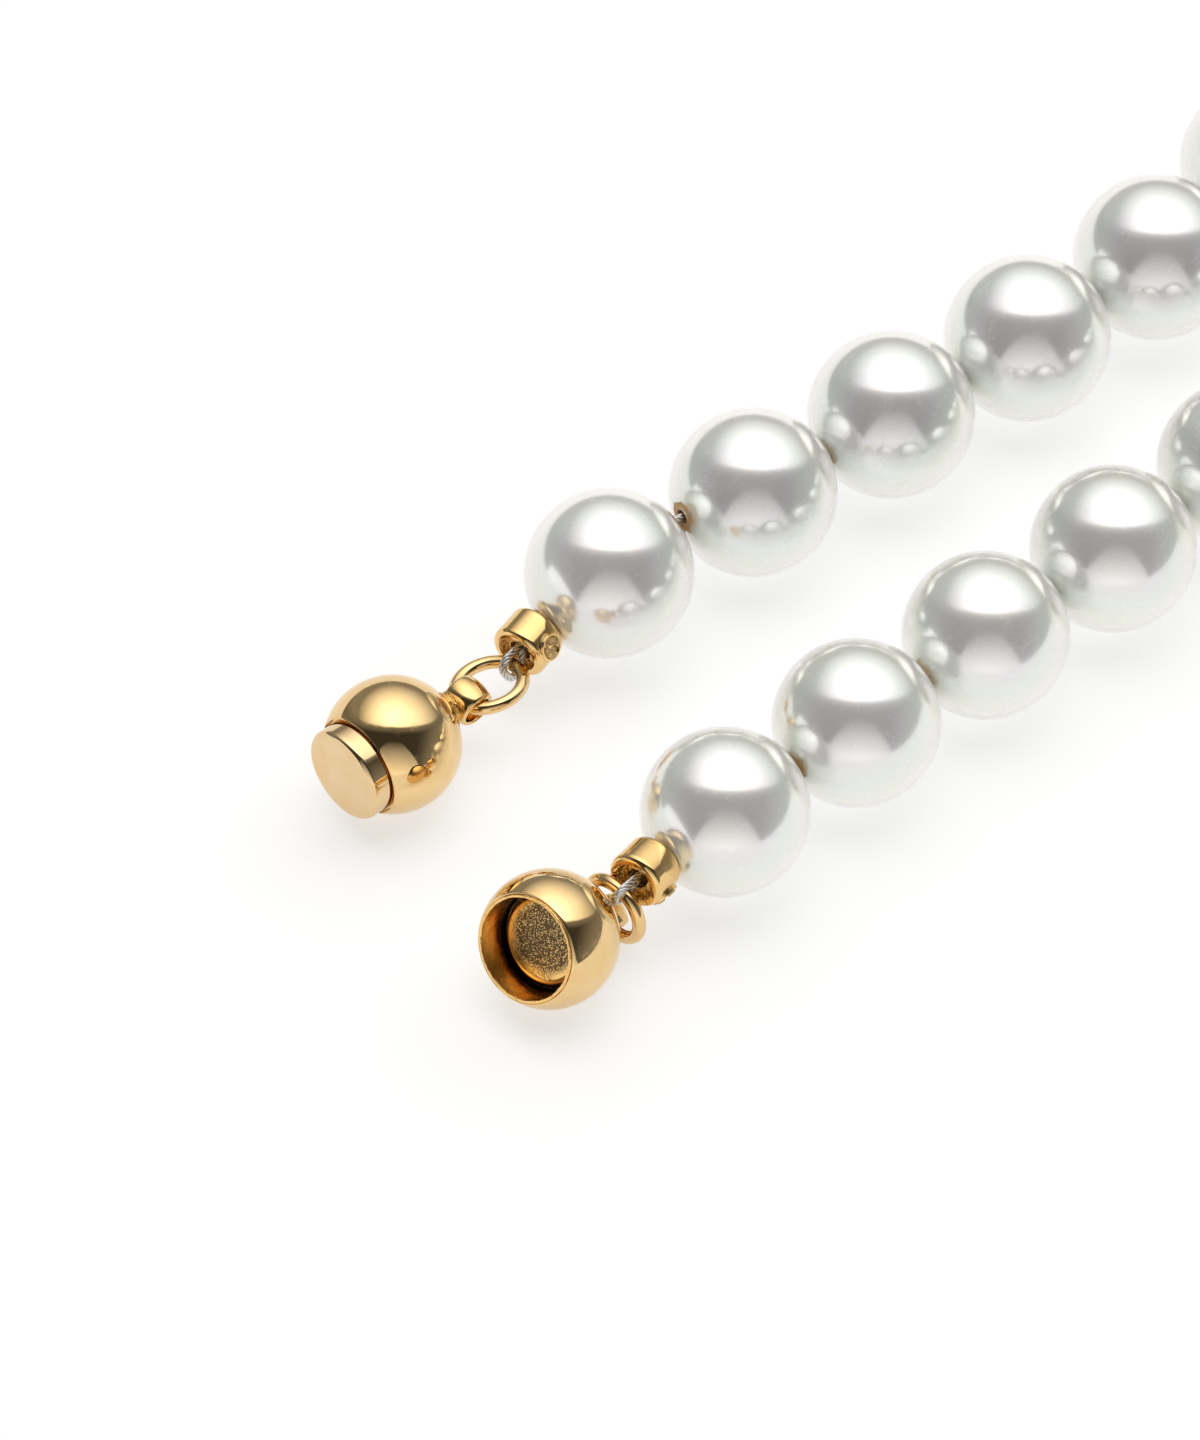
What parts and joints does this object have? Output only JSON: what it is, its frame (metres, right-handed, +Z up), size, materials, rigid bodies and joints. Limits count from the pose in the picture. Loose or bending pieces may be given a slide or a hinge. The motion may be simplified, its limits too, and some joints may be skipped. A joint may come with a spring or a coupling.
{
  "type": "pearl necklace",
  "caption": "Strand of large white round pearls on steel cable, lying open, with a gold two-ball magnetic clasp.",
  "frame": {"origin": "centre of the bounding box at the table it lies on", "axes": "+X from the clasp towards the far end of the loop, +Z up from the table"},
  "size_m": [0.1864, 0.1026, 0.01],
  "materials": {
    "pearl": "glossy white nacre",
    "gold": "polished gold",
    "crimp_gold": "polished gold, rough inside",
    "magnet_gold": "gritty gold-plated magnet",
    "screw_gold": "cut, worn gold",
    "cable": "twisted steel strands"
  },
  "bodies": {
    "pearl_01": {"pearl_01": "pearl"},
    "pearl_02": {"pearl_02": "pearl"},
    "pearl_03": {"pearl_03": "pearl"},
    "pearl_04": {"pearl_04": "pearl"},
    "pearl_05": {"pearl_05": "pearl"},
    "pearl_06": {"pearl_06": "pearl"},
    "pearl_07": {"pearl_07": "pearl"},
    "pearl_08": {"pearl_08": "pearl"},
    "pearl_09": {"pearl_09": "pearl"},
    "pearl_10": {"pearl_10": "pearl"},
    "pearl_11": {"pearl_11": "pearl"},
    "pearl_12": {"pearl_12": "pearl"},
    "pearl_13": {"pearl_13": "pearl"},
    "pearl_14": {"pearl_14": "pearl"},
    "pearl_15": {"pearl_15": "pearl"},
    "pearl_16": {"pearl_16": "pearl"},
    "pearl_17": {"pearl_17": "pearl"},
    "pearl_18": {"pearl_18": "pearl"},
    "pearl_19": {"pearl_19": "pearl"},
    "pearl_20": {"pearl_20": "pearl"},
    "pearl_21": {"pearl_21": "pearl", "strand_cable": "cable"},
    "pearl_22": {"pearl_22": "pearl"},
    "pearl_23": {"pearl_23": "pearl"},
    "pearl_24": {"pearl_24": "pearl"},
    "pearl_25": {"pearl_25": "pearl"},
    "pearl_26": {"pearl_26": "pearl"},
    "pearl_27": {"pearl_27": "pearl"},
    "pearl_28": {"pearl_28": "pearl"},
    "pearl_29": {"pearl_29": "pearl"},
    "pearl_30": {"pearl_30": "pearl"},
    "pearl_31": {"pearl_31": "pearl"},
    "pearl_32": {"pearl_32": "pearl"},
    "pearl_33": {"pearl_33": "pearl"},
    "pearl_34": {"pearl_34": "pearl"},
    "pearl_35": {"pearl_35": "pearl"},
    "pearl_36": {"pearl_36": "pearl"},
    "pearl_37": {"pearl_37": "pearl"},
    "pearl_38": {"pearl_38": "pearl"},
    "pearl_39": {"pearl_39": "pearl"},
    "pearl_40": {"pearl_40": "pearl"},
    "pearl_41": {"pearl_41": "pearl"},
    "crimp_a": {"crimp_a": "crimp_gold", "set_screw_a": "screw_gold", "cable_loop_a": "cable"},
    "ring_a": {"jump_ring_a": "gold"},
    "crimp_b": {"crimp_b": "crimp_gold", "set_screw_b": "screw_gold", "cable_loop_b": "cable"},
    "ring_b": {"jump_ring_b": "gold"},
    "clasp_plug_half": {"ball_shell_a": "gold", "plug_cap": "gold", "plug_magnet": "magnet_gold", "clasp_eye_a": "gold"},
    "clasp_socket_half": {"ball_shell_b": "gold", "socket_cup": "gold", "socket_magnet": "magnet_gold", "clasp_eye_b": "gold"}
  },
  "joints": [
    {"name": "bend_20_21", "type": "hinge", "parent": "pearl_21", "child": "pearl_20", "pos_m": [0.08867, 0.00134, 0.00498], "axis": [-0.7068, -0.0195, 0.7071], "range_deg": [-18, 3.5], "deforming": ["strand_cable"]},
    {"name": "bend_19_20", "type": "hinge", "parent": "pearl_20", "child": "pearl_19", "pos_m": [0.0873, 0.01134, 0.00499], "axis": [-0.6861, -0.1709, -0.7071], "range_deg": [-3.5, 18], "deforming": ["strand_cable"]},
    {"name": "bend_18_19", "type": "hinge", "parent": "pearl_19", "child": "pearl_18", "pos_m": [0.08382, 0.02082, 0.00499], "axis": [0.6333, 0.3144, -0.7071], "range_deg": [-3.5, 18], "deforming": ["strand_cable"]},
    {"name": "bend_17_18", "type": "hinge", "parent": "pearl_18", "child": "pearl_17", "pos_m": [0.07838, 0.02933, 0.00499], "axis": [0.5509, 0.4433, 0.7071], "range_deg": [-18, 3.5], "deforming": ["strand_cable"]},
    {"name": "bend_16_17", "type": "hinge", "parent": "pearl_17", "child": "pearl_16", "pos_m": [0.07123, 0.03647, 0.00499], "axis": [-0.4426, -0.5514, 0.7071], "range_deg": [-18, 4], "deforming": ["strand_cable"]},
    {"name": "bend_15_16", "type": "hinge", "parent": "pearl_16", "child": "pearl_15", "pos_m": [0.0627, 0.04191, 0.00499], "axis": [-0.3136, -0.6338, -0.7071], "range_deg": [-5, 18], "deforming": ["strand_cable"]},
    {"name": "bend_14_15", "type": "hinge", "parent": "pearl_15", "child": "pearl_14", "pos_m": [0.05321, 0.04539, 0.005], "axis": [0.1698, 0.6864, -0.7071], "range_deg": [-5.5, 18], "deforming": ["strand_cable"]},
    {"name": "bend_13_14", "type": "hinge", "parent": "pearl_14", "child": "pearl_13", "pos_m": [0.04318, 0.04675, 0.005], "axis": [0.0179, 0.7069, 0.7071], "range_deg": [-18, 5.5], "deforming": ["strand_cable"]},
    {"name": "bend_12_13", "type": "hinge", "parent": "pearl_13", "child": "pearl_12", "pos_m": [0.03309, 0.04591, 0.005], "axis": [0.1348, -0.6941, 0.7071], "range_deg": [-18, 5.5], "deforming": ["strand_cable"]},
    {"name": "bend_11_12", "type": "hinge", "parent": "pearl_12", "child": "pearl_11", "pos_m": [0.02342, 0.04291, 0.005], "axis": [0.2813, -0.6487, -0.7071], "range_deg": [-5.5, 18], "deforming": ["strand_cable"]},
    {"name": "bend_10_11", "type": "hinge", "parent": "pearl_11", "child": "pearl_10", "pos_m": [0.01461, 0.0379, 0.005], "axis": [-0.4146, 0.5728, -0.7071], "range_deg": [-5.5, 18], "deforming": ["strand_cable"]},
    {"name": "bend_09_10", "type": "hinge", "parent": "pearl_10", "child": "pearl_09", "pos_m": [0.00709, 0.0311, 0.00501], "axis": [-0.5175, 0.4818, 0.7071], "range_deg": [-18, 8.5], "deforming": ["strand_cable"]},
    {"name": "bend_08_09", "type": "hinge", "parent": "pearl_09", "child": "pearl_08", "pos_m": [0.00083, 0.0231, 0.00501], "axis": [0.5203, -0.4789, 0.7071], "range_deg": [-10, 18], "deforming": ["strand_cable"]},
    {"name": "bend_07_08", "type": "hinge", "parent": "pearl_08", "child": "pearl_07", "pos_m": [-0.00661, 0.01621, 0.00501], "axis": [0.4187, -0.5698, -0.7071], "range_deg": [-18, 5], "deforming": ["strand_cable"]},
    {"name": "bend_06_07", "type": "hinge", "parent": "pearl_07", "child": "pearl_06", "pos_m": [-0.01541, 0.01116, 0.00501], "axis": [-0.2804, 0.6491, -0.7071], "range_deg": [-18, 5], "deforming": ["strand_cable"]},
    {"name": "bend_05_06", "type": "hinge", "parent": "pearl_06", "child": "pearl_05", "pos_m": [-0.02512, 0.00821, 0.00502], "axis": [-0.1278, 0.6955, 0.7071], "range_deg": [-5, 18], "deforming": ["strand_cable"]},
    {"name": "bend_04_05", "type": "hinge", "parent": "pearl_05", "child": "pearl_04", "pos_m": [-0.03525, 0.00751, 0.00502], "axis": [0.0108, -0.707, 0.7071], "range_deg": [-9, 17.5], "deforming": ["strand_cable"]},
    {"name": "bend_03_04", "type": "hinge", "parent": "pearl_04", "child": "pearl_03", "pos_m": [-0.04536, 0.0079, 0.00502], "axis": [-0.0271, -0.7066, -0.7071], "range_deg": [-13, 13], "deforming": ["strand_cable"]},
    {"name": "bend_02_03", "type": "hinge", "parent": "pearl_03", "child": "pearl_02", "pos_m": [-0.05548, 0.00829, 0.00502], "axis": [0.0271, 0.7066, -0.7071], "range_deg": [-13, 13], "deforming": ["strand_cable"]},
    {"name": "bend_01_02", "type": "hinge", "parent": "pearl_02", "child": "pearl_01", "pos_m": [-0.06593, 0.00901, 0.00601], "axis": [0.0271, 0.7066, 0.7071], "range_deg": [-18, 18], "deforming": ["strand_cable"]},
    {"name": "bend_21_22", "type": "hinge", "parent": "pearl_21", "child": "pearl_22", "pos_m": [0.08785, -0.00872, 0.00498], "axis": [0.6945, -0.1328, 0.7071], "range_deg": [-3.5, 18], "deforming": ["strand_cable"]},
    {"name": "bend_22_23", "type": "hinge", "parent": "pearl_22", "child": "pearl_23", "pos_m": [0.0849, -0.01836, 0.00498], "axis": [0.6498, -0.2788, -0.7071], "range_deg": [-18, 4], "deforming": ["strand_cable"]},
    {"name": "bend_23_24", "type": "hinge", "parent": "pearl_23", "child": "pearl_24", "pos_m": [0.07994, -0.02714, 0.00498], "axis": [-0.5749, 0.4117, -0.7071], "range_deg": [-18, 4.5], "deforming": ["strand_cable"]},
    {"name": "bend_24_25", "type": "hinge", "parent": "pearl_24", "child": "pearl_25", "pos_m": [0.07322, -0.03465, 0.00498], "axis": [-0.4732, 0.5255, 0.7071], "range_deg": [-5, 18], "deforming": ["strand_cable"]},
    {"name": "bend_25_26", "type": "hinge", "parent": "pearl_25", "child": "pearl_26", "pos_m": [0.06505, -0.04054, 0.00497], "axis": [0.3495, -0.6147, 0.7071], "range_deg": [-5.5, 18], "deforming": ["strand_cable"]},
    {"name": "bend_26_27", "type": "hinge", "parent": "pearl_26", "child": "pearl_27", "pos_m": [0.05581, -0.04455, 0.00497], "axis": [0.2096, -0.6753, -0.7071], "range_deg": [-18, 6], "deforming": ["strand_cable"]},
    {"name": "bend_27_28", "type": "hinge", "parent": "pearl_27", "child": "pearl_28", "pos_m": [0.04594, -0.04647, 0.00497], "axis": [-0.06, 0.7046, -0.7071], "range_deg": [-18, 6], "deforming": ["strand_cable"]},
    {"name": "bend_28_29", "type": "hinge", "parent": "pearl_28", "child": "pearl_29", "pos_m": [0.03588, -0.04624, 0.00497], "axis": [0.0922, 0.7011, 0.7071], "range_deg": [-6, 18], "deforming": ["strand_cable"]},
    {"name": "bend_29_30", "type": "hinge", "parent": "pearl_29", "child": "pearl_30", "pos_m": [0.02611, -0.04386, 0.00496], "axis": [-0.2402, -0.6651, 0.7071], "range_deg": [-6, 18], "deforming": ["strand_cable"]},
    {"name": "bend_30_31", "type": "hinge", "parent": "pearl_30", "child": "pearl_31", "pos_m": [0.01708, -0.03945, 0.00496], "axis": [-0.3769, -0.5983, -0.7071], "range_deg": [-18, 6], "deforming": ["strand_cable"]},
    {"name": "bend_31_32", "type": "hinge", "parent": "pearl_31", "child": "pearl_32", "pos_m": [0.00921, -0.0332, 0.00496], "axis": [0.4951, 0.5048, -0.7071], "range_deg": [-18, 6.5], "deforming": ["strand_cable"]},
    {"name": "bend_32_33", "type": "hinge", "parent": "pearl_32", "child": "pearl_33", "pos_m": [0.00282, -0.02545, 0.00496], "axis": [0.5319, 0.466, 0.7071], "range_deg": [-18, 14], "deforming": ["strand_cable"]},
    {"name": "bend_33_34", "type": "hinge", "parent": "pearl_33", "child": "pearl_34", "pos_m": [-0.00402, -0.0181, 0.00496], "axis": [-0.4607, -0.5365, 0.7071], "range_deg": [-18, 5], "deforming": ["strand_cable"]},
    {"name": "bend_34_35", "type": "hinge", "parent": "pearl_34", "child": "pearl_35", "pos_m": [-0.01232, -0.01246, 0.00495], "axis": [-0.3303, -0.6252, -0.7071], "range_deg": [-5, 18], "deforming": ["strand_cable"]},
    {"name": "bend_35_36", "type": "hinge", "parent": "pearl_35", "child": "pearl_36", "pos_m": [-0.02165, -0.0088, 0.00495], "axis": [0.1837, 0.6828, -0.7071], "range_deg": [-5, 18], "deforming": ["strand_cable"]},
    {"name": "bend_36_37", "type": "hinge", "parent": "pearl_36", "child": "pearl_37", "pos_m": [-0.03156, -0.00729, 0.00495], "axis": [0.0441, 0.7057, 0.7071], "range_deg": [-18, 9.5], "deforming": ["strand_cable"]},
    {"name": "bend_37_38", "type": "hinge", "parent": "pearl_37", "child": "pearl_38", "pos_m": [-0.0416, -0.00755, 0.00495], "axis": [0.0234, -0.7067, 0.7071], "range_deg": [-16.5, 15.5], "deforming": ["strand_cable"]},
    {"name": "bend_38_39", "type": "hinge", "parent": "pearl_38", "child": "pearl_39", "pos_m": [-0.05156, -0.00795, 0.00494], "axis": [0.0284, -0.7065, -0.7071], "range_deg": [-13, 13], "deforming": ["strand_cable"]},
    {"name": "bend_39_40", "type": "hinge", "parent": "pearl_39", "child": "pearl_40", "pos_m": [-0.06152, -0.00835, 0.00494], "axis": [-0.0284, 0.7065, -0.7071], "range_deg": [-13, 13], "deforming": ["strand_cable"]},
    {"name": "bend_40_41", "type": "hinge", "parent": "pearl_40", "child": "pearl_41", "pos_m": [-0.07144, -0.0087, 0.00501], "axis": [-0.0284, 0.7065, 0.7071], "range_deg": [-12.5, 13.5], "deforming": ["strand_cable"]},
    {"name": "crimp_swing_a", "type": "hinge", "parent": "pearl_01", "child": "crimp_a", "pos_m": [-0.07602, 0.00875, 0.00402], "axis": [0, 0, 1], "range_deg": [-27, 0], "deforming": ["strand_cable"]},
    {"name": "ring_swing_a", "type": "hinge", "parent": "crimp_a", "child": "ring_a", "pos_m": [-0.07884, 0.00785, 0.00359], "axis": [-0.168, 0.942, -0.2906], "range_deg": [-6, 6]},
    {"name": "clasp_swing_a", "type": "hinge", "parent": "ring_a", "child": "clasp_plug_half", "pos_m": [-0.08251, 0.00743, 0.00355], "axis": [0.0674, -0.9923, -0.1038], "range_deg": [-60, 60]},
    {"name": "crimp_swing_b", "type": "hinge", "parent": "pearl_41", "child": "crimp_b", "pos_m": [-0.08154, -0.0092, 0.00487], "axis": [0, 0, 1], "range_deg": [-28, 0], "deforming": ["strand_cable"]},
    {"name": "ring_swing_b", "type": "hinge", "parent": "crimp_b", "child": "ring_b", "pos_m": [-0.08461, -0.00991, 0.00495], "axis": [-0.109, 0.957, 0.2687], "range_deg": [-2, 9]},
    {"name": "clasp_swing_b", "type": "hinge", "parent": "ring_b", "child": "clasp_socket_half", "pos_m": [-0.0849, -0.00849, 0.00144], "axis": [-0.0873, -0.8842, -0.459], "range_deg": [0, 75]}
  ]
}
